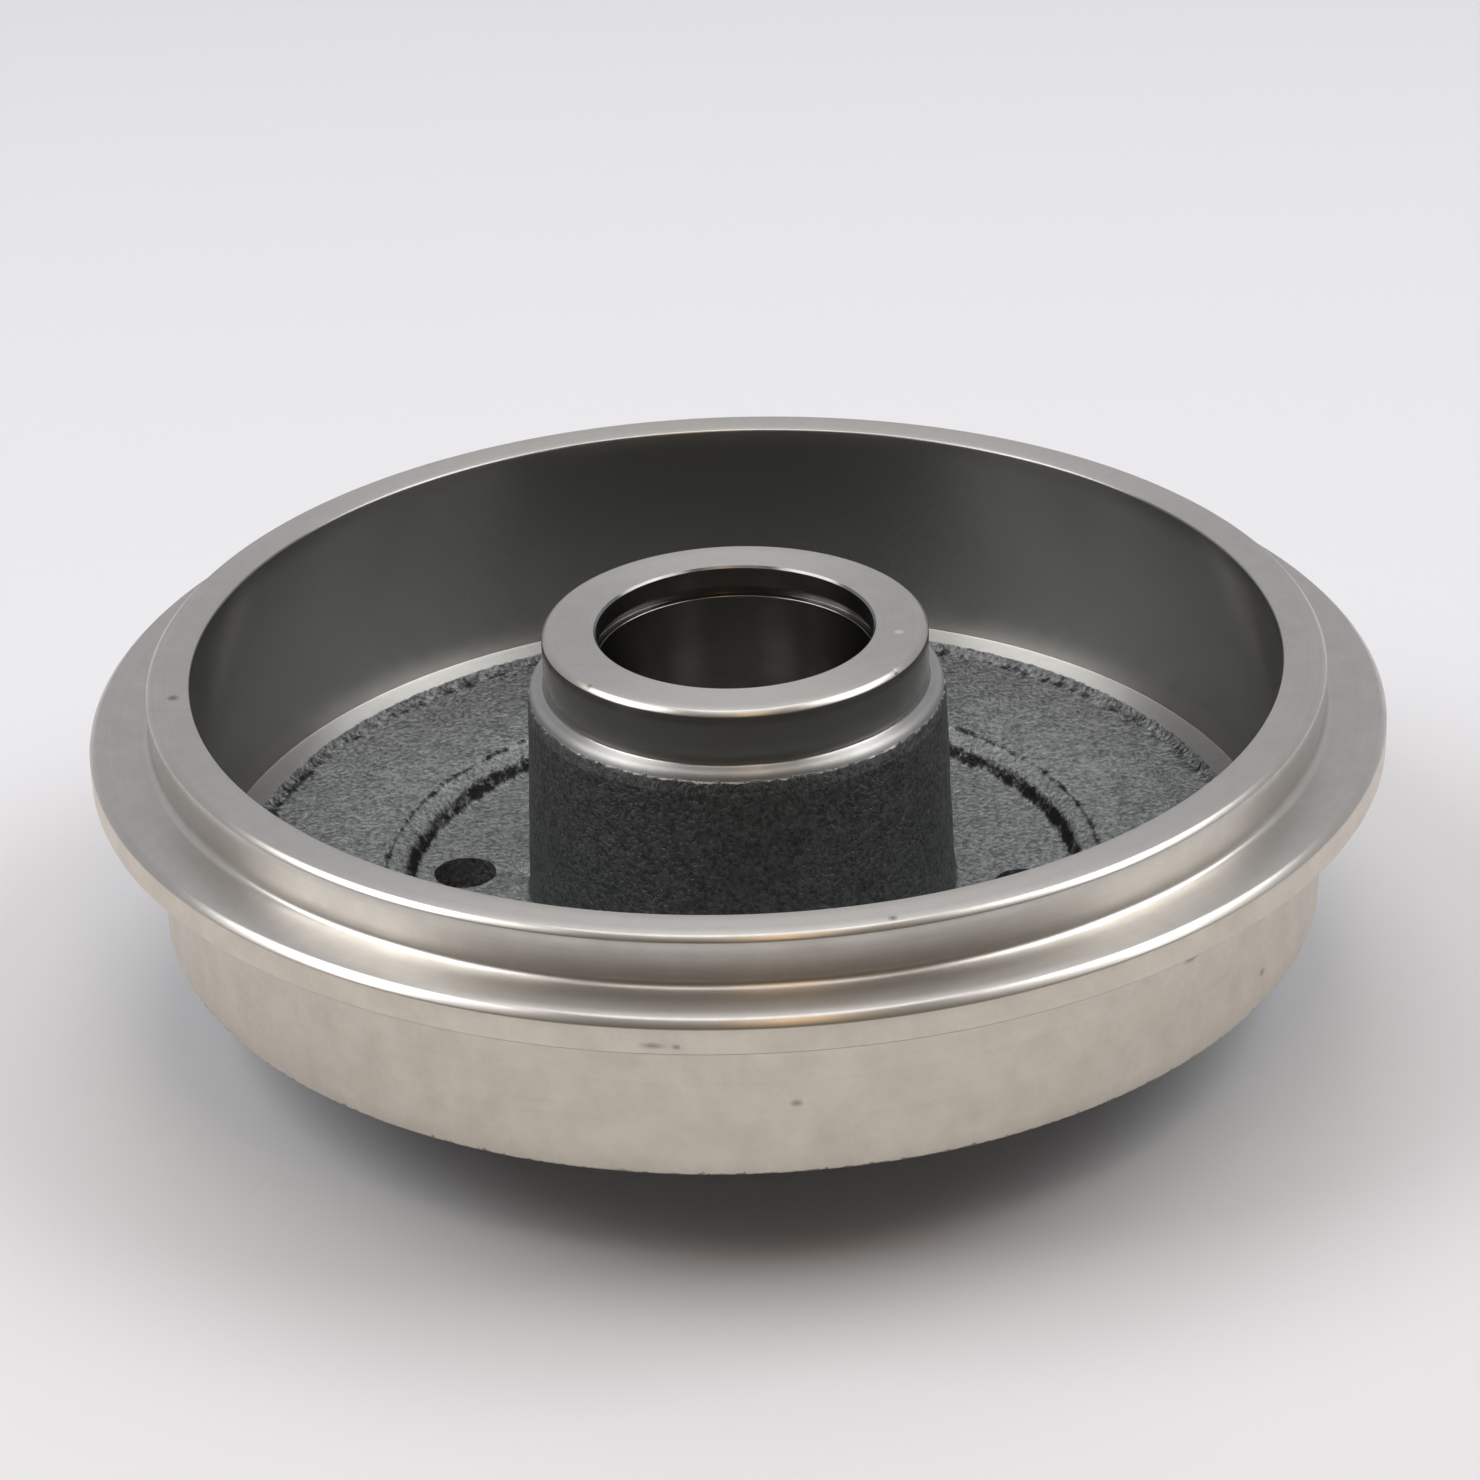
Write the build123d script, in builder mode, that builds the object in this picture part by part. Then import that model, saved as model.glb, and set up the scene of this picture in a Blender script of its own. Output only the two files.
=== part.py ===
"""Passenger-car rear brake drum with an integral bearing hub, cast in one piece and turned.

Millimetres. +Z runs along the wheel axis towards the open (brake shoe) side. The origin is on
the axis, in the plane of the wheel mounting face, so the centring spigot reaches below z = 0.
"""
import os
from math import radians, tan

from build123d import *

# --- braking ring and rim -------------------------------------------------------------------
brake_diameter = 203.0      # inside diameter of the shoe track
brake_depth = 43.3          # rim face down to the ledge that ends the shoe track
wall_thickness = 8.1        # radial, shoe track to turned outside
turned_length = 46.0        # rim face down to where the turned outside stops
lip_height = 9.3            # rim face down to the stiffening flange
flange_overhang = 11.3      # flange beyond the turned outside
flange_thickness = 6.3
flange_root_radius = 1.5
rim_chamfer = 0.5
flange_chamfer = 0.7
flange_back_chamfer = 0.4

# --- web ------------------------------------------------------------------------------------
ledge_width = 5.4           # turned strip inside the shoe track
ledge_drop = 1.3            # turned strip down to the as-cast web
ledge_run = 1.2             # radial length of that small slope
web_fall = 1.4              # the cast web dips this much towards the hub
web_thickness = 7.0
back_taper_run = 11.2       # radial length of the cast taper behind the shoe track
step_depth = 4.2            # web down to the floor that the wheel studs go through
step_top_margin = 11.1      # bolt circle out to the top of the step
step_foot_margin = 9.3      # bolt circle out to the foot of the step
core_line_width = 3.4       # sloping border that the core leaves round the step
core_line_drop = 0.4        # fine step at the border's outer edge
core_line_fall = 1.0        # the border's own slope
step_foot_chamfer = 1.0
disc_thickness = 8.8        # wheel mounting face up to the floor

# --- wheel interface ------------------------------------------------------------------------
pitch_circle_diameter = 108.0
wheel_hole_count = 4
wheel_hole_diameter = 12.0
first_hole_angle = 173.8    # degrees from +X
pad_margin = 18.0           # bolt circle out to the edge of the turned mounting face
pad_draft_run = 1.6
pad_root_chamfer = 1.5
spigot_diameter = 64.8      # centres the wheel
spigot_height = 9.0
spigot_chamfer = 1.5
grease_cap_diameter = 50.8  # counterbore that takes the dust cap
grease_cap_chamfer = 0.8

# --- hub ------------------------------------------------------------------------------------
hub_rise = 3.9              # hub face above the rim face
bearing_diameter = 52.0
bearing_width = 37.0
bearing_mouth_chamfer = 0.75
bearing_stop_height = 3.5   # radial height of the shoulder that the bearing stops against
bearing_stop_width = 4.0
circlip_inset = 4.15        # hub face down to the circlip groove
circlip_groove_width = 2.15
circlip_groove_depth = 1.5
journal_diameter = 72.3     # turned seat for the sensor ring
journal_length = 10.8
journal_chamfer = 1.0
journal_root_chamfer = 0.5
collar_width = 2.7          # shoulder below the journal
collar_height = 1.8
collar_chamfer = 0.3
boss_step = 0.3             # as-cast boss beyond the turned collar
boss_draft = 2.3            # degrees
boss_foot_chamfer = 1.2

# --- levels and radii that follow from the sizes above ----------------------------------------
floor_z = disc_thickness
rim_z = floor_z + step_depth + web_fall + ledge_drop + brake_depth
ledge_z = rim_z - brake_depth
web_outer_z = ledge_z - ledge_drop
web_inner_z = web_outer_z - web_fall
turned_end_z = rim_z - turned_length
flange_top_z = rim_z - lip_height
flange_back_z = flange_top_z - flange_thickness
back_outer_z = web_outer_z - web_thickness
back_inner_z = web_inner_z - web_thickness

brake_r = brake_diameter / 2
body_r = brake_r + wall_thickness
flange_r = body_r + flange_overhang
ledge_inner_r = brake_r - ledge_width
web_outer_r = ledge_inner_r - ledge_run
back_outer_r = body_r - back_taper_run

bolt_circle_r = pitch_circle_diameter / 2
step_top_r = bolt_circle_r + step_top_margin
step_foot_r = bolt_circle_r + step_foot_margin
core_line_r = step_top_r + core_line_width
pad_r = bolt_circle_r + pad_margin
spigot_r = spigot_diameter / 2
grease_cap_r = grease_cap_diameter / 2

hub_z = rim_z + hub_rise
bearing_r = bearing_diameter / 2
groove_r = bearing_r + circlip_groove_depth
groove_top_z = hub_z - circlip_inset
groove_foot_z = groove_top_z - circlip_groove_width
stop_top_z = groove_foot_z - bearing_width
stop_foot_z = stop_top_z - bearing_stop_width
stop_r = bearing_r - bearing_stop_height
journal_r = journal_diameter / 2
collar_top_z = hub_z - journal_length
collar_foot_z = collar_top_z - collar_height
collar_r = journal_r + collar_width
boss_top_r = collar_r + boss_step
boss_foot_r = boss_top_r + (collar_foot_z - floor_z) * tan(radians(boss_draft))

# Half section in (radius, z), from the spigot's end round the outside and back down the bore.
half_section = [
    (grease_cap_r, -spigot_height),
    (spigot_r, -spigot_height),
    (spigot_r, 0),
    (pad_r, 0),
    (pad_r + pad_draft_run, back_inner_z),
    (back_outer_r, back_outer_z),
    (body_r, turned_end_z),
    (body_r, flange_back_z),
    (flange_r, flange_back_z),
    (flange_r, flange_top_z),
    (body_r, flange_top_z),
    (body_r, rim_z),
    (brake_r, rim_z),
    (brake_r, ledge_z),
    (ledge_inner_r, ledge_z),
    (web_outer_r, web_outer_z),
    (core_line_r, web_inner_z),
    (core_line_r, web_inner_z - core_line_drop),
    (step_top_r, web_inner_z - core_line_drop - core_line_fall),
    (step_foot_r, floor_z),
    (boss_foot_r, floor_z),
    (boss_top_r, collar_foot_z),
    (collar_r, collar_foot_z),
    (collar_r, collar_top_z),
    (journal_r, collar_top_z),
    (journal_r, hub_z),
    (bearing_r, hub_z),
    (bearing_r, stop_top_z),
    (stop_r, stop_top_z),
    (stop_r, stop_foot_z),
    (grease_cap_r, stop_foot_z),
]
corner_chamfers = {
    (pad_r + pad_draft_run, back_inner_z): pad_root_chamfer,
    (step_foot_r, floor_z): step_foot_chamfer,
    (boss_foot_r, floor_z): boss_foot_chamfer,
    (journal_r, collar_top_z): journal_root_chamfer,
    (grease_cap_r, -spigot_height): grease_cap_chamfer,
    (spigot_r, -spigot_height): spigot_chamfer,
    (flange_r, flange_back_z): flange_back_chamfer,
    (flange_r, flange_top_z): flange_chamfer,
    (body_r, rim_z): rim_chamfer,
    (brake_r, rim_z): rim_chamfer,
    (collar_r, collar_top_z): collar_chamfer,
    (journal_r, hub_z): journal_chamfer,
    (bearing_r, hub_z): bearing_mouth_chamfer,
}

with BuildPart() as brake_drum:
    # The casting with everything that the lathe cuts, as one turned section.
    with BuildSketch(Plane.XZ) as section:
        with BuildLine():
            Polyline(*half_section, close=True)
        make_face()
        flange_root = section.vertices().sort_by_distance((body_r, flange_top_z, 0))[0]
        fillet(flange_root, flange_root_radius)
        for corner, size in corner_chamfers.items():
            chamfer(section.vertices().sort_by_distance((*corner, 0))[0], size)
    revolve(axis=Axis.Z)

    # Circlip groove that keeps the wheel bearing in the hub.
    with BuildSketch(Plane.XY.offset(groove_foot_z)):
        Circle(groove_r)
        Circle(bearing_r, mode=Mode.SUBTRACT)
    extrude(amount=circlip_groove_width, mode=Mode.SUBTRACT)

    # Holes for the wheel bolts, through the disc between the floor and the mounting face.
    with Locations(Plane.XY.offset(floor_z)):
        with PolarLocations(bolt_circle_r, wheel_hole_count, start_angle=first_hole_angle):
            Hole(wheel_hole_diameter / 2, depth=disc_thickness)

brake_drum.part.label = "brake_drum"

os.makedirs("parts", exist_ok=True)
export_step(brake_drum.part, "parts/brake_drum.step")
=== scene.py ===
import math

import bmesh
import bpy
import numpy as np
from mathutils import Matrix, Vector, noise


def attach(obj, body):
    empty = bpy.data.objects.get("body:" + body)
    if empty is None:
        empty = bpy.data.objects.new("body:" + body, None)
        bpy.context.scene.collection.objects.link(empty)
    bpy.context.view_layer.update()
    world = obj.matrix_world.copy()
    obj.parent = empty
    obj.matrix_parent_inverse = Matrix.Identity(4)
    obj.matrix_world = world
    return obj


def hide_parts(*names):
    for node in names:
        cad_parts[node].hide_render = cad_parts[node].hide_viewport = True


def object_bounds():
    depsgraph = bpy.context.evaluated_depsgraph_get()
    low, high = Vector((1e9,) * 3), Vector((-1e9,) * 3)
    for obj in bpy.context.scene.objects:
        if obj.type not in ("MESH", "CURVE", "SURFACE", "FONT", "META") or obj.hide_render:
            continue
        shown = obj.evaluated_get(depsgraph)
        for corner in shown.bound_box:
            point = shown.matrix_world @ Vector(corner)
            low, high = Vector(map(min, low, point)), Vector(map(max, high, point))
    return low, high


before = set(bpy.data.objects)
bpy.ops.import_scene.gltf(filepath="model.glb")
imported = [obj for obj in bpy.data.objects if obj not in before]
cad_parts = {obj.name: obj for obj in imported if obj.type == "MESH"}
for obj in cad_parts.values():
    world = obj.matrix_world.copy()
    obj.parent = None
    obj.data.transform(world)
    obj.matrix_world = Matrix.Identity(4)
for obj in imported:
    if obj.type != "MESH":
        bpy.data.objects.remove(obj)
cadLow, cadHigh = [list(corner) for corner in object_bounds()]  # the CAD model's own box

mm = 0.001
samePlace = 1e-6    # m, points that are closer together are one point


def linear(hexColour):  # sRGB hex to the linear colour that the shader wants
    channels = [int(hexColour[i:i + 2], 16) / 255 for i in (1, 3, 5)]
    return [c / 12.92 if c <= 0.04045 else ((c + 0.055) / 1.055) ** 2.4 for c in channels] + [1]


def addNode(tree, kind, settings=None, feeds=None):  # feeds: for each socket a value, or the socket to link
    node = tree.nodes.new("ShaderNode" + kind)
    for name, value in (settings or {}).items():
        setattr(node, name, value)
    for key, value in (feeds or {}).items():
        if isinstance(value, bpy.types.NodeSocket):
            tree.links.new(value, node.inputs[key])
        else:
            node.inputs[key].default_value = value
    return node


def onlyActive(piece):  # selects this object alone, in object mode
    if bpy.context.object and bpy.context.object.mode != "OBJECT":
        bpy.ops.object.mode_set(mode="OBJECT")
    bpy.ops.object.select_all(action="DESELECT")
    piece.select_set(True)
    bpy.context.view_layer.objects.active = piece


# Corners of the half section in mm, from the spigot's end round the outside and down the bore: radius,
# height, size of the broken corner and its segments (1 is a chamfer), then for the side up to the next
# corner how many cuts divide it, and its finish.
drum = {
    "section": [
        (25.4, -9.0, 0.8, 1, 0, "turned"),
        (32.4, -9.0, 1.5, 1, 1, "turned"),
        (32.4, 0.0, 0.5, 2, 10, "turned"),
        (72.0, 0.0, 0.6, 2, 3, "cast"),
        (73.6, 6.0, 1.8, 3, 16, "cast"),
        (98.4, 7.4, 2.5, 3, 8, "cast"),
        (109.6, 13.0, 0.25, 2, 10, "outside"),
        (109.6, 43.4, 0.5, 2, 2, "turned"),
        (120.86, 43.4, 0.3, 1, 1, "outside"),
        (120.86, 48.4, 0.25, 2, 0, "turned"),
        (119.6, 49.7, 0.35, 2, 3, "turned"),
        (109.6, 49.7, 1.5, 5, 3, "turned"),
        (109.6, 58.1, 0.2, 2, 0, "turned"),
        (108.7, 59.0, 0.3, 2, 2, "turned"),
        (101.5, 59.0, 0.5, 3, 10, "honed"),
        (101.5, 15.7, 0.3, 3, 4, "faced"),
        (96.1, 15.7, 0.2, 2, 2, "cast"),
        (94.9, 14.4, 0.8, 2, 19, "cast"),
        (68.6, 13.0, 0.15, 1, 0, "cast"),
        (68.4, 12.6, 0.15, 1, 3, "cast"),
        (65.1, 11.6, 0.5, 2, 4, "cast"),
        (63.3, 8.8, 0.7, 2, 18, "cast"),
        (40.9, 8.8, 1.8, 4, 32, "cast"),
        (39.2, 50.3, 0.1, 2, 0, "cast"),
        (38.9, 50.3, 0.08, 1, 1, "faced"),
        (38.9, 52.1, 1.15, 3, 1, "faced"),
        (36.15, 52.1, 0.6, 3, 4, "ground"),
        (36.15, 62.0, 0.2, 2, 0, "turned"),
        (35.25, 62.9, 0.3, 2, 3, "turned"),
        (26.0, 62.9, 0.4, 1, 1, "bored"),
        (26.0, 58.75, 0.05, 1, 0, "bored"),
        (27.5, 58.75, 0.1, 1, 1, "bored"),
        (27.5, 56.6, 0.1, 1, 0, "bored"),
        (26.0, 56.6, 0.08, 1, 8, "bored"),
        (26.0, 19.6, 0.3, 1, 1, "turned"),
        (22.5, 19.6, 0.3, 1, 1, "turned"),
        (22.5, 15.6, 0.3, 1, 1, "turned"),
        (25.4, 15.6, 0.3, 1, 5, "turned"),
    ],
    "quarterSteps": 72,     # steps of the spin in a quarter turn
    "smoothBelow": 32,      # degrees, edges that bend less are shaded smooth
    "holeRadius": 6.0,
    "holeCircle": 54.0,     # mm, radius of the circle that they lie on
    "holeFirstAngle": 173.8,    # degrees
    "holeCount": 4,
    "holeSides": 72,
    "drillMiddle": 4.4,     # mm, height of the middle of the drill
    "drillLength": 20.0,    # mm
    "nearHole": 1.0,        # mm, round a hole, where upright faces are the hole's own wall
    "castLumps": 0.22,      # mm, height of the sand casting's unevenness
    "lumpSizes": (9.0, 3.5),    # mm, large and small
    # where the lathe stopped, in mm: radii and heights of the zone, the edge in it and what that measures,
    # and whether the cast skin is above it (1) or below it (-1)
    "cutEnds": [
        ((50, 100.5), (9, 60), 96.3, "radius", -1),     # ledge
        ((71, 90), (-10, 6), 72.6, "radius", 1),        # mounting face
        ((30, 45), (30, 51.5), 50.4, "height", -1),     # collar
        ((104, 125), (-10, 30), 13.1, "height", -1),    # outside
    ],
    "outsideFrom": 104,     # mm, radius beyond which a border is rough-turned
    "runOut": 3.0,          # mm, width over which turned iron gives way to cast skin
    "noneAndFull": (0.02, 0.98),    # amounts of skin that count as none and as full
    "edgeWander": 0.25,     # mm, how far the tool's run-out wanders on the rough casting
    "wanderSizes": (4.5, 1.7),  # mm, large and small
    # edges that wander: their radii and heights, and the share that goes outward and upward
    "raggedEdges": [
        ((94.5, 96.3), (13.5, 15.65), 1.0, 0.0),
        ((38.85, 39.6), (50.05, 50.55), 0.0, 0.6),
        ((109, 125), (12.65, 13.35), 0.0, 0.4),
    ],
    # flaws in the casting: place, radius and height in mm
    "flaws": [
        ((-41.5, 5.0, 9.2), 2.2, -0.9),
        ((-43.3, -0.3, 8.8), 1.5, 0.7),
        ((-45.2, 3.4, 8.8), 1.6, -0.5),
    ],
    # painted shade in the web's step, in the groove beside it and in the corner under the ledge: radius, half
    # width and fade in mm, heights that it lies between, and how much at most
    "paintedShade": [
        (64.1, 0.39, 1.3, (8, 12.2), 0.66),
        (68.5, 0.3, 0.001, (12.4, 15.65), 0.47),
        (94.3, 0.4, 1.8, (8, 15.65), 0.50),
    ],
    "bossShading": ((38, 46), 9.5, 0.49),    # radii and lowest height of the boss, and how dark its painted shade is
}
finishes = ["turned", "outside", "faced", "honed", "ground", "bored", "cast", "edge", "outsideEdge"]


def sectionObject():  # the half section as a closed wire with rounded corners, in the XZ plane
    corners = drum["section"]
    bpy.ops.object.select_all(action="DESELECT")
    bpy.ops.mesh.primitive_plane_add(size=2 * mm, location=(0, 0, 0))
    piece = bpy.context.object
    bpy.ops.object.mode_set(mode="EDIT")
    bpy.ops.mesh.merge(type="CENTER")
    first = corners[0]
    bpy.ops.transform.translate(value=(first[0] * mm, 0, first[1] * mm))
    for before, after in zip(corners, corners[1:]):
        step = ((after[0] - before[0]) * mm, 0, (after[1] - before[1]) * mm)
        bpy.ops.mesh.extrude_vertices_move(TRANSFORM_OT_translate={"value": step})
    mesh = bmesh.from_edit_mesh(piece.data)
    mesh.verts.ensure_lookup_table()
    mesh.edges.new((mesh.verts[-1], mesh.verts[0]))
    bmesh.update_edit_mesh(piece.data)
    for radius, height, size, segments, _, _ in corners:
        corner = Vector((radius * mm, 0, height * mm))
        selectWire(piece, lambda v: (v.co - corner).length < samePlace)
        bpy.ops.mesh.bevel(offset=size * mm, segments=segments, affect="VERTICES", profile=0.5)
    for start, end in zip(corners, corners[1:] + corners[:1]):
        if start[4]:
            selectSpan(piece, start[:2], end[:2])
            bpy.ops.mesh.subdivide(number_cuts=start[4])
    return piece


def selectWire(piece, wanted):  # selects the vertices that the test wants
    bpy.ops.mesh.select_all(action="DESELECT")
    mesh = bmesh.from_edit_mesh(piece.data)
    for v in mesh.verts:
        v.select = wanted(v)
    mesh.select_flush(True)
    bmesh.update_edit_mesh(piece.data)


def selectSpan(piece, start, end):  # the straight edge that is left between two rounded corners
    bpy.ops.mesh.select_all(action="DESELECT")
    mesh = bmesh.from_edit_mesh(piece.data)
    a, b = Vector((start[0], start[1])) * mm, Vector((end[0], end[1])) * mm
    along = (b - a).normalized()
    longest = None
    for e in mesh.edges:
        p, q = [Vector((v.co.x, v.co.z)) for v in e.verts]
        off = max(abs((p - a).cross(along)), abs((q - a).cross(along)))
        inside = all(-samePlace < (s - a).dot(along) < (b - a).length + samePlace for s in (p, q))
        if off < samePlace and inside and (longest is None or e.calc_length() > longest.calc_length()):
            longest = e
    longest.select = True
    mesh.select_flush(True)
    bmesh.update_edit_mesh(piece.data)


def sectionFinish(radius, height):  # for arrays of places in mm, the finish of the section's nearest side
    corners = drum["section"]
    best = np.full(radius.shape, np.inf)
    found = np.zeros(radius.shape, int)
    for (r0, z0, *_, finish), (r1, z1, *_) in zip(corners, corners[1:] + corners[:1]):
        dr, dz = r1 - r0, z1 - z0
        t = np.clip(((radius - r0) * dr + (height - z0) * dz) / (dr * dr + dz * dz), 0, 1)
        away = np.hypot(radius - r0 - t * dr, height - z0 - t * dz)
        nearer = away < best - 1e-4  # on a tie the earlier side keeps its claim
        best[nearer], found[nearer] = away[nearer], finishes.index(finish)
    return found


def within(values, limits):
    return (values > limits[0]) & (values < limits[1])


def castAmount(radius, height):  # 0 on turned iron, 1 on the casting's own skin, a ramp between them
    amount = (sectionFinish(radius, height) == finishes.index("cast")).astype(float)
    measured = {"radius": radius, "height": height}
    for radii, heights, edge, measure, side in drum["cutEnds"]:
        depth = (measured[measure] - edge) * side
        ramp = np.clip(depth / drum["runOut"] + 0.5, 0, 1)
        amount = np.where(within(radius, radii) & within(height, heights), ramp, amount)
    return amount


def paintedShadeAmount(radius, height):  # painted shade in the web's step, its groove and the corner under the ledge
    amount = np.zeros(radius.shape)
    for centre, halfWidth, fade, heights, most in drum["paintedShade"]:
        share = 1 - np.clip((np.abs(radius - centre) - halfWidth) / fade, 0, 1)
        amount = np.maximum(amount, most * share * within(height, heights))
    return amount


def bossShadeAmount(radius, height):  # painted shade: the hub's boss is drawn darker than the web
    radii, lowest, dark = drum["bossShading"]
    return dark * (within(radius, radii) & (height > lowest))


def readVectors(items, name):  # one property of all vertices or faces, a row for each
    values = np.empty(len(items) * 3)
    items.foreach_get(name, values)
    return values.reshape(-1, 3)


def ringPlace(places):  # radius and height in mm
    return np.hypot(places[:, 0], places[:, 1]) / mm, places[:, 2] / mm


def makeDrum():
    piece = sectionObject()
    piece.name = piece.data.name = "castDrum"
    bpy.ops.mesh.select_all(action="SELECT")
    bpy.ops.mesh.spin(steps=drum["quarterSteps"], angle=math.pi / 2, center=(0, 0, 0), axis=(0, 0, 1))
    bpy.ops.object.mode_set(mode="OBJECT")
    quarter = piece.modifiers.new("other quarters", "MIRROR")
    quarter.use_axis = (True, True, False)
    quarter.merge_threshold = samePlace
    onlyActive(piece)
    bpy.ops.object.modifier_apply(modifier=quarter.name)
    bpy.ops.object.mode_set(mode="EDIT")
    bpy.ops.mesh.select_all(action="SELECT")
    bpy.ops.mesh.remove_doubles(threshold=samePlace)
    bpy.ops.mesh.normals_make_consistent(inside=False)
    bpy.ops.object.mode_set(mode="OBJECT")
    print("spun:", len(piece.data.polygons), "faces")

    roughenCasting(piece)
    drillHoles(piece)
    nameFinishes(piece)
    onlyActive(piece)
    bpy.ops.object.shade_smooth_by_angle(angle=math.radians(drum["smoothBelow"]))
    return piece


def unevenness(place, sizes):  # large and small waves together
    large, small = sizes
    return 0.6 * noise.noise(place / (large * mm)) + 0.4 * noise.noise(place / (small * mm))


def roughenCasting(piece):  # the sand's unevenness, and the wandering edges where the tool ran out
    places = readVectors(piece.data.vertices, "co")
    normals = readVectors(piece.data.vertices, "normal")
    radius, height = ringPlace(places)
    skin = np.clip(castAmount(radius, height) * 2 - 1, 0, 1)  # lumps start halfway up the ramp
    outward, upward = np.zeros(len(places)), np.zeros(len(places))
    for radii, heights, outShare, upShare in drum["raggedEdges"]:
        edge = within(radius, radii) & within(height, heights)
        outward[edge], upward[edge] = outShare, upShare
    for i in np.nonzero((skin > 0) | (outward > 0) | (upward > 0))[0]:
        here = Vector(places[i])
        lumps = unevenness(here, drum["lumpSizes"]) * drum["castLumps"]
        wander = unevenness(here, drum["wanderSizes"]) * drum["edgeWander"] * mm
        flaw = sum(lift * math.exp(-((here / mm - Vector(spot)).length / reach) ** 2)
                   for spot, reach, lift in drum["flaws"])
        places[i] += normals[i] * (lumps + flaw) * skin[i] * mm
        places[i, :2] += places[i, :2] / radius[i] / mm * wander * outward[i]
        places[i, 2] += wander * upward[i]
    piece.data.vertices.foreach_set("co", places.ravel())
    piece.data.update()


def drillHoles(piece):
    bpy.ops.object.select_all(action="DESELECT")
    cutters = []
    for i in range(drum["holeCount"]):
        angle = math.radians(drum["holeFirstAngle"] + i * 360 / drum["holeCount"])
        across, along = drum["holeCircle"] * mm * math.cos(angle), drum["holeCircle"] * mm * math.sin(angle)
        bpy.ops.mesh.primitive_cylinder_add(vertices=drum["holeSides"], radius=drum["holeRadius"] * mm,
                                            depth=drum["drillLength"] * mm,
                                            location=(across, along, drum["drillMiddle"] * mm))
        cutters.append(bpy.context.object)
    for cutter in cutters:
        cutter.select_set(True)
    bpy.ops.object.join()
    cutter = bpy.context.object
    bpy.ops.object.transform_apply(location=True, rotation=True, scale=True)
    onlyActive(piece)
    cut = piece.modifiers.new("wheel holes", "BOOLEAN")
    cut.operation, cut.solver, cut.object = "DIFFERENCE", "EXACT", cutter
    bpy.ops.object.modifier_apply(modifier=cut.name)
    bpy.data.objects.remove(cutter)


def nameFinishes(piece):  # a material slot for each finish, and the amounts that the materials read
    for name in finishes:
        piece.data.materials.append(looks[name])
    radius, height = ringPlace(readVectors(piece.data.vertices, "co"))
    skin = castAmount(radius, height)
    amounts = {"castSkin": skin, "paintedShade": paintedShadeAmount(radius, height), "bossShade": bossShadeAmount(radius, height)}
    for name, values in amounts.items():
        piece.data.attributes.new(name, "FLOAT", "POINT").data.foreach_set("value", values)

    faces = piece.data.polygons
    starts = np.empty(len(faces), int)
    faces.foreach_get("loop_start", starts)
    corners = np.empty(len(piece.data.loops), int)
    piece.data.loops.foreach_get("vertex_index", corners)
    least, most = np.minimum.reduceat(skin[corners], starts), np.maximum.reduceat(skin[corners], starts)
    none, full = most < drum["noneAndFull"][0], least > drum["noneAndFull"][1]

    radius, height = ringPlace(readVectors(faces, "center"))
    found = sectionFinish(radius, height)
    mayBeCast = np.isin(found, [finishes.index(name) for name in ("turned", "faced", "cast", "outside")])
    found[mayBeCast & full] = finishes.index("cast")
    found[(found == finishes.index("cast")) & none] = finishes.index("turned")
    border = mayBeCast & ~none & ~full
    outside = radius > drum["outsideFrom"]
    found[border] = np.where(outside[border], finishes.index("outsideEdge"), finishes.index("edge"))
    nearHole = np.abs(radius - drum["holeCircle"]) < drum["holeRadius"] + drum["nearHole"]
    upright = np.abs(readVectors(faces, "normal")[:, 2]) < 0.5
    found[nearHole & upright] = finishes.index("cast")
    faces.foreach_set("material_index", found)


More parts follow.
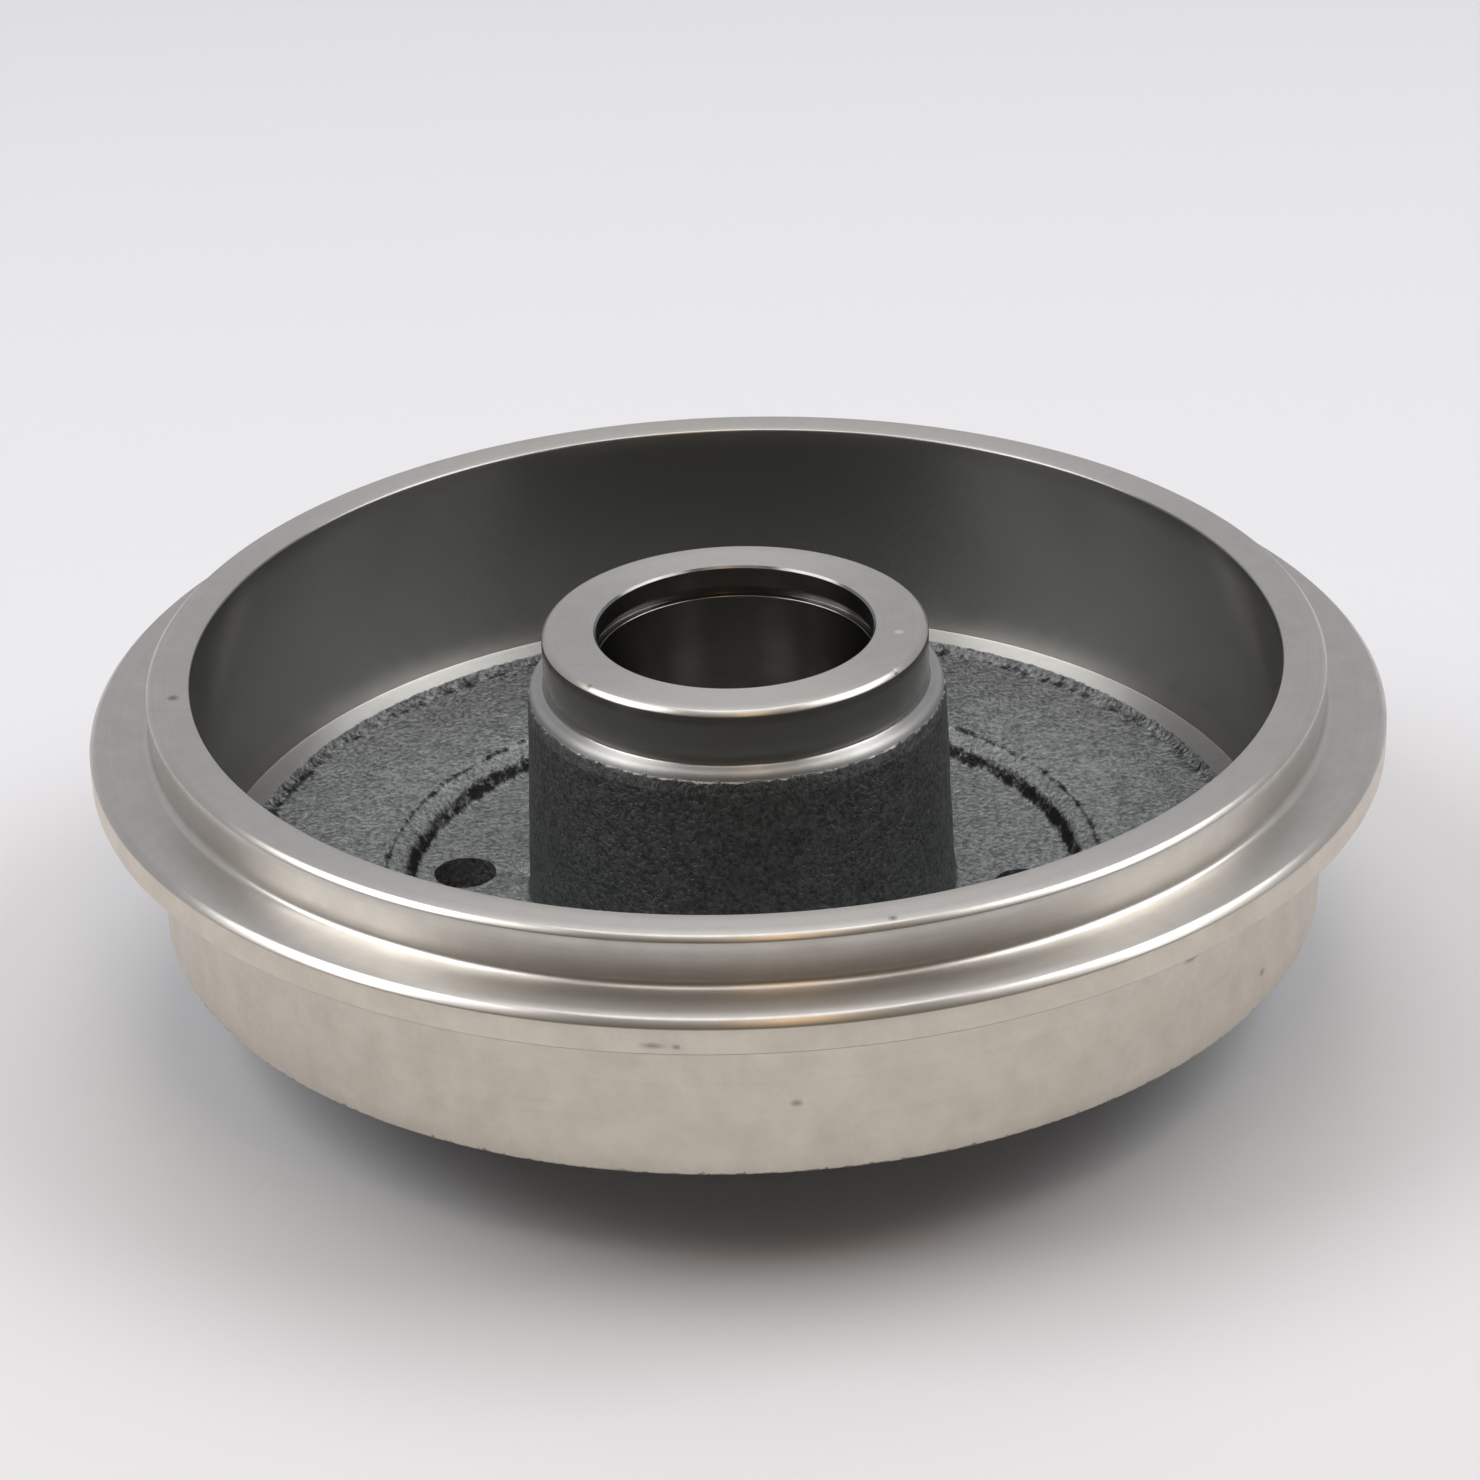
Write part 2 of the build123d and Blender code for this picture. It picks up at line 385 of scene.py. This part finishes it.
# For each cut: the clean and the dulled metal, its roughness in clean and in dulled patches, how strongly
# the tool's rings show and their pitch in mm (drawn two or three times coarser than real, so that they
# show), how finely the patches break up into specks, the depth of the waviness in mm, how far the rings
# spread a highlight across themselves, and small marks by their colour: centre, width and height in mm.
cuts = {
    "turned": {"clean": "#D0CCC7", "dull": "#C6C2BC", "smooth": 0.28, "rough": 0.32,
               "rings": 0.3, "pitch": 0.80, "specks": 6.0, "depth": 0.01, "spread": 0.7,
               "marks": {"#8A857C": [((-103.5, -15.0, 59.0), 1.6, 1.2), ((24.5, -104.7, 59.0), 1.2, 0.7),
                                     ((29.2, -21.2, 62.3), 0.9, 0.9), ((-26.8, -23.3, 62.8), 0.9, 0.9)],
                         "#EDEBE8": [((30.4, -5.2, 62.9), 1.5, 1.5), ((29.0, -20.4, 62.9), 0.8, 0.8)]}},
    "outside": {"clean": "#D7CFC3", "dull": "#CBC3B7", "smooth": 0.41, "rough": 0.46,
                "rings": 0.12, "pitch": 1.10, "specks": 6.0, "depth": 0.02, "spread": 0.0,
                "marks": {"#A39C90": [((-15.6, -119.9, 45.2), 3.0, 0.9), ((-11.7, -120.3, 45.1), 1.2, 0.8),
                                      ((7.8, -109.3, 26.7), 1.5, 1.1), ((77.0, -77.9, 33.6), 2.6, 1.0),
                                      ((92.1, -59.5, 19.5), 1.6, 1.1)]}},
    "faced": {"clean": "#D0CFCD", "dull": "#C6C5C2", "smooth": 0.46, "rough": 0.50,
              "rings": 0.4, "pitch": 0.80, "specks": 4.0, "depth": 0.01, "spread": 0.9},
    # honed, ground and bored iron are drawn darker than the outside: painted shade inside the drum and the
    # hub
    "honed": {"clean": "#9F9E9B", "dull": "#9C9B98", "smooth": 0.26, "rough": 0.27,
              "rings": 0.0, "pitch": 0.80, "specks": 3.0, "depth": 0.0, "spread": 0.85},
    "ground": {"clean": "#A9A8A5", "dull": "#9F9E9B", "smooth": 0.22, "rough": 0.27,
               "rings": 0.3, "pitch": 0.80, "specks": 2.0, "depth": 0.0, "spread": 0.8},
    "bored": {"clean": "#92918E", "dull": "#888784", "smooth": 0.22, "rough": 0.27,
              "rings": 0.3, "pitch": 0.80, "specks": 2.0, "depth": 0.0, "spread": 0.8},
}
ironBlotch = 7.0                # mm, size of the dulled patches on cut metal
dulling = (0.42, 0.78)          # noise at which cut metal starts to dull, and at which it is wholly dull
markEdge = 0.5                  # mm, size of the wear that frays the small marks
markFade = (2.2, 0.9)           # from outside a mark to inside it, in half widths and with the wear added
sandSkin = {
    "pit": "#6B6E6F",           # foundry skin, darkened by heat and oil; in the pits it also stands for painted shade
    "crest": "#A9ACAC",
    # dark colour of the painted shade in the web's corners and on the boss
    "paintedShade": "#363636",
    "sandGrain": 1.0,           # mm, print of the moulding sand, coarser than the real 0.4 so that it shows
    "sandDepth": 0.60,          # mm
    "clump": 3.0,               # mm, clumps of sand that stuck together
    "clumpShare": 0.35,         # of the clumps in the height of the crests
    "paling": (0.52, 0.83),     # heights between which the colour turns from pit to crest: the skin's own mottle, with painted highlight on crests and painted shade in pits
    "grains": (0.3, 0.7),       # heights between which the roughness does
    "roughness": (0.58, 0.48),  # of pits and of crests
    "shadeOffCrests": -0.74,     # the painted shade lies deeper in the pits than on the crests
    "shadeOffClumps": -0.9,
    "shadeFading": (-0.60, -0.28),  # what is left of the painted shade, from none to full
}
ragged = {
    "size": 1.6,                # mm, tongues of turned iron on the cast skin
    "reach": 0.5,               # how far they shift the edge, as a share of the run-out
    "turning": (0.72, 0.80),    # from turned iron to skin
}


def objectPlace(tree):  # position, and distance from the axle's line, in metres
    place = addNode(tree, "TexCoord").outputs["Object"]
    flat = addNode(tree, "VectorMath", {"operation": "MULTIPLY"}, {0: place, 1: (1, 1, 0)}).outputs[0]
    radius = addNode(tree, "VectorMath", {"operation": "LENGTH"}, {0: flat}).outputs["Value"]
    height = addNode(tree, "SeparateXYZ", feeds={0: place}).outputs["Z"]
    return place, radius, height


def cutLook(tree, place, radius, height, cut):  # fine rings from the tool, dulled in patches and specks
    along = addNode(tree, "Math", {"operation": "ADD"}, {0: radius, 1: height}).outputs[0]
    rings = addNode(tree, "TexNoise", {"noise_dimensions": "1D"},
                    {"W": along, "Scale": 1 / (cut["pitch"] * mm), "Detail": 2.0}).outputs[0]
    patches = addNode(tree, "TexNoise", feeds={"Vector": place, "Scale": 1 / (ironBlotch * mm),
                                               "Detail": cut["specks"], "Roughness": 0.7}).outputs[0]
    worn = addNode(tree, "Math", {"operation": "MULTIPLY_ADD"},
                   {0: rings, 1: cut["rings"], 2: patches}).outputs[0]
    dullness = addNode(tree, "MapRange", feeds={"Value": worn, "From Min": dulling[0],
                                                "From Max": dulling[1]}).outputs[0]
    colour = addNode(tree, "Mix", {"data_type": "RGBA"},
                     {0: dullness, 6: linear(cut["clean"]), 7: linear(cut["dull"])}).outputs[2]
    roughness = addNode(tree, "MapRange", feeds={"Value": worn, "From Min": dulling[0],
                                                 "From Max": dulling[1], "To Min": cut["smooth"],
                                                 "To Max": cut["rough"]}).outputs[0]
    relief = addNode(tree, "Math", {"operation": "MULTIPLY"}, {0: patches, 1: cut["depth"]}).outputs[0]
    for shade, marks in cut.get("marks", {}).items():
        colour = addNode(tree, "Mix", {"data_type": "RGBA"},
                         {0: markAmount(tree, place, marks), 6: colour, 7: linear(shade)}).outputs[2]
    return colour, roughness, relief


def markAmount(tree, place, marks):  # 1 inside any of the small marks, each stretched round the drum
    wear = addNode(tree, "TexNoise", feeds={"Vector": place, "Scale": 1 / (markEdge * mm)}).outputs[0]
    amount = 0
    for centre, width, height in marks:
        off = addNode(tree, "VectorMath", {"operation": "SUBTRACT"},
                      {0: place, 1: Vector(centre) * mm}).outputs[0]
        stretch = (2 / (width * mm), 2 / (width * mm), 2 / (height * mm))
        away = addNode(tree, "VectorMath", {"operation": "MULTIPLY"}, {0: off, 1: stretch}).outputs[0]
        away = addNode(tree, "VectorMath", {"operation": "LENGTH"}, {0: away}).outputs["Value"]
        away = addNode(tree, "Math", {"operation": "ADD"}, {0: away, 1: wear}).outputs[0]
        inside = addNode(tree, "MapRange", feeds={"Value": away, "From Min": markFade[0],
                                                  "From Max": markFade[1]}).outputs[0]
        amount = addNode(tree, "Math", {"operation": "MAXIMUM"}, {0: inside, 1: amount}).outputs[0]
    return amount


def castLook(tree, place, radius, height):  # sand print on a dark skin, painted shade in the corners and on the boss
    grains = addNode(tree, "TexNoise", feeds={"Vector": place, "Scale": 1 / (sandSkin["sandGrain"] * mm),
                                              "Detail": 3.0, "Roughness": 0.7}).outputs[0]
    clumps = addNode(tree, "TexNoise", feeds={"Vector": place, "Scale": 1 / (sandSkin["clump"] * mm),
                                              "Detail": 3.0}).outputs[0]
    crests = addNode(tree, "Math", {"operation": "MULTIPLY_ADD"},
                     {0: clumps, 1: sandSkin["clumpShare"], 2: grains}).outputs[0]
    # pale crests and dark pits: partly the skin's own mottle, partly painted highlight and shade of the
    # grain's relief
    mottleAndShade = addNode(tree, "MapRange", feeds={"Value": crests, "From Min": sandSkin["paling"][0],
                                                "From Max": sandSkin["paling"][1]}).outputs[0]
    colour = addNode(tree, "Mix", {"data_type": "RGBA"},
                     {0: mottleAndShade, 6: linear(sandSkin["pit"]), 7: linear(sandSkin["crest"])}).outputs[2]
    # painted shade darkens the boss
    bossShade = addNode(tree, "Attribute", {"attribute_name": "bossShade"}).outputs["Fac"]
    colour = addNode(tree, "Mix", {"data_type": "RGBA"},
                     {0: bossShade, 6: colour, 7: linear(sandSkin["paintedShade"])}).outputs[2]
    # painted shade in the web's step and corners, deeper in the pits and broken up by the clumps
    paintedShade = addNode(tree, "Attribute", {"attribute_name": "paintedShade"}).outputs["Fac"]
    patchy = addNode(tree, "Math", {"operation": "MULTIPLY_ADD"},
                     {0: clumps, 1: sandSkin["shadeOffClumps"], 2: paintedShade}).outputs[0]
    shadeLeft = addNode(tree, "Math", {"operation": "MULTIPLY_ADD"},
                       {0: crests, 1: sandSkin["shadeOffCrests"], 2: patchy}).outputs[0]
    shadedShare = addNode(tree, "MapRange", feeds={"Value": shadeLeft, "From Min": sandSkin["shadeFading"][0],
                                             "From Max": sandSkin["shadeFading"][1]}).outputs[0]
    colour = addNode(tree, "Mix", {"data_type": "RGBA"},
                     {0: shadedShare, 6: colour, 7: linear(sandSkin["paintedShade"])}).outputs[2]
    roughness = addNode(tree, "MapRange", feeds={"Value": grains, "From Min": sandSkin["grains"][0],
                                                 "From Max": sandSkin["grains"][1],
                                                 "To Min": sandSkin["roughness"][0],
                                                 "To Max": sandSkin["roughness"][1]}).outputs[0]
    relief = addNode(tree, "Math", {"operation": "MULTIPLY"},
                     {0: crests, 1: sandSkin["sandDepth"]}).outputs[0]
    return colour, roughness, relief


def edgeLook(tree, place, radius, height, cut):  # turned iron that gives way raggedly to the cast skin
    amount = addNode(tree, "Attribute", {"attribute_name": "castSkin"}).outputs["Fac"]
    tongues = addNode(tree, "TexNoise", feeds={"Vector": place, "Scale": 1 / (ragged["size"] * mm),
                                               "Detail": 3.0, "Roughness": 0.6}).outputs[0]
    shifted = addNode(tree, "Math", {"operation": "MULTIPLY_ADD"},
                      {0: tongues, 1: ragged["reach"], 2: amount}).outputs[0]
    share = addNode(tree, "MapRange", feeds={"Value": shifted, "From Min": ragged["turning"][0],
                                             "From Max": ragged["turning"][1]}).outputs[0]
    turned, cast = cutLook(tree, place, radius, height, cut), castLook(tree, place, radius, height)
    mixed = [addNode(tree, "Mix", {"data_type": "RGBA"}, {0: share, 6: turned[0], 7: cast[0]}).outputs[2]]
    for first, second in zip(turned[1:], cast[1:]):
        mixed.append(addNode(tree, "Mix", {"data_type": "FLOAT"}, {0: share, 2: first, 3: second}).outputs[0])
    return mixed


def ironMaterial(name, look, cut=None):
    material = bpy.data.materials.new(name)
    material.use_nodes = True
    tree = material.node_tree
    shader = tree.nodes["Principled BSDF"]
    shader.inputs["Metallic"].default_value = 1.0
    colour, roughness, relief = look(tree, *objectPlace(tree), *([cut] if cut else []))
    normal = addNode(tree, "Bump", feeds={"Height": relief, "Distance": mm}).outputs[0]  # relief is in mm
    for socket, source in (("Base Color", colour), ("Roughness", roughness), ("Normal", normal)):
        tree.links.new(source, shader.inputs[socket])
    if cut and cut["spread"]:
        shader.inputs["Anisotropic"].default_value = cut["spread"]
        shader.inputs["Anisotropic Rotation"].default_value = 0.25  # a quarter turn, across the rings
        around = addNode(tree, "Tangent", {"direction_type": "RADIAL", "axis": "Z"}).outputs[0]
        tree.links.new(around, shader.inputs["Tangent"])
    return material


looks = {
    # satin grey with faint rings
    "turned": ironMaterial("turned grey cast iron", cutLook, cuts["turned"]),
    # dull, warm and mottled
    "outside": ironMaterial("rough-turned grey cast iron", cutLook, cuts["outside"]),
    # wide and bright satin streaks
    "faced": ironMaterial("faced grey cast iron", cutLook, cuts["faced"]),
    # smoother, mirrors the web dimly; its darker colour is painted shade inside the drum
    "honed": ironMaterial("finish-turned brake track", cutLook, cuts["honed"]),
    # dark, near a mirror, ringed; its darker colour is painted shade inside the hub
    "ground": ironMaterial("ground iron bearing seat", cutLook, cuts["ground"]),
    # the same, darker still: painted shade deep in the bore
    "bored": ironMaterial("bored iron in the hub", cutLook, cuts["bored"]),
    # near black and grainy, glints at a low angle
    "cast": ironMaterial("sand-cast iron skin", castLook),
    # ragged borders, each with the looks of both its sides
    "edge": ironMaterial("faced iron giving way to cast skin", edgeLook, cuts["faced"]),
    "outsideEdge": ironMaterial("rough-turned iron giving way to cast skin", edgeLook, cuts["outside"]),
}
print("materials made")

casting = makeDrum()
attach(casting, "root")
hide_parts("brake_drum")
print("drum made:", len(casting.data.polygons), "faces")


studio = {
    "floorColour": "#E0E0E3",
    "floorLevel": cadLow[2],
    "floorRadius": 6.0,
    "floorSides": 96,
    "paperRoughness": 0.9,
    "paperShine": 0.1,
    # direction from the drum, distance in m, width and depth in m, radiance, colour
    "softboxLeft": ((-0.66, -0.06, 0.75), 1.70, (1.06, 1.06), 3.7, "#FFFFFF"),
    "softboxRight": ((0.63, 0.04, 0.78), 1.70, (1.06, 1.06), 3.4, "#FFFFFF"),
    "softboxTop": ((0.0, 0.18, 1.0), 1.50, (0.80, 1.70), 1.38, "#FFFFFF"),
    "lampFront": ((0.09, -0.51, 0.855), 1.30, (0.20, 0.20), 3.2, "#FFCB80"),
    "roomFront": "#605443",   # the room behind the camera is dim and warm
    "roomBack": "#BFC0C4",    # the pale end of the studio
    "roomFade": (-0.7, 0.75), # from the dim end to the pale one, -1 is straight behind the camera
    "cameraPlace": (0.0003, -0.7013, 0.4012),
    "tilt": 27.33,            # degrees down from level, looking along +Y
    "roll": -1.86,            # degrees
    "lens": 101.6,            # mm
    "sensor": 36,             # mm
}


def makeFloor():
    bpy.ops.object.select_all(action="DESELECT")
    bpy.ops.mesh.primitive_circle_add(vertices=studio["floorSides"], radius=studio["floorRadius"],
                                      fill_type="NGON", location=(0, 0, studio["floorLevel"]))
    floor = bpy.context.object
    floor.name = "studioFloor"
    paper = bpy.data.materials.new("matt white paper")  # flat and cool, with no gloss
    paper.use_nodes = True
    shader = paper.node_tree.nodes["Principled BSDF"]
    shader.inputs["Base Color"].default_value = linear(studio["floorColour"])
    shader.inputs["Roughness"].default_value = studio["paperRoughness"]
    shader.inputs["Specular IOR Level"].default_value = studio["paperShine"]
    floor.data.materials.append(paper)


def makeLights():
    for name in ("softboxLeft", "softboxRight", "softboxTop", "lampFront"):
        direction, distance, (width, depth), radiance, colour = studio[name]
        place = Vector(direction).normalized() * distance
        bpy.ops.object.light_add(type="AREA", location=place)
        softbox = bpy.context.object
        softbox.name = name
        softbox.data.shape = "RECTANGLE"
        softbox.data.size, softbox.data.size_y = width, depth
        softbox.data.energy = radiance * math.pi * width * depth  # W
        softbox.data.color = linear(colour)[:3]
        softbox.rotation_euler = place.to_track_quat("Z", "Y").to_euler()


def makeRoom():
    world = bpy.data.worlds.new("studioRoom")
    bpy.context.scene.world = world
    world.use_nodes = True
    tree = world.node_tree
    direction = addNode(tree, "TexCoord").outputs["Generated"]
    across = addNode(tree, "SeparateXYZ", feeds={0: direction}).outputs["Y"]
    fade = addNode(tree, "MapRange", feeds={"Value": across, "From Min": studio["roomFade"][0],
                                            "From Max": studio["roomFade"][1]}).outputs[0]
    colour = addNode(tree, "Mix", {"data_type": "RGBA"},
                     {0: fade, 6: linear(studio["roomFront"]), 7: linear(studio["roomBack"])}).outputs[2]
    tree.links.new(colour, tree.nodes["Background"].inputs["Color"])


def makeCamera():
    data = bpy.data.cameras.new("studioCamera")
    data.lens, data.sensor_width = studio["lens"], studio["sensor"]
    camera = bpy.data.objects.new("studioCamera", data)
    bpy.context.collection.objects.link(camera)
    camera.matrix_world = (Matrix.Translation(studio["cameraPlace"])
                           @ Matrix.Rotation(math.radians(90 - studio["tilt"]), 4, "X")
                           @ Matrix.Rotation(math.radians(studio["roll"]), 4, "Z"))
    bpy.context.scene.camera = camera


makeFloor()
makeLights()
makeRoom()
makeCamera()
bpy.context.scene.view_settings.view_transform = "Standard"
print("studio made")
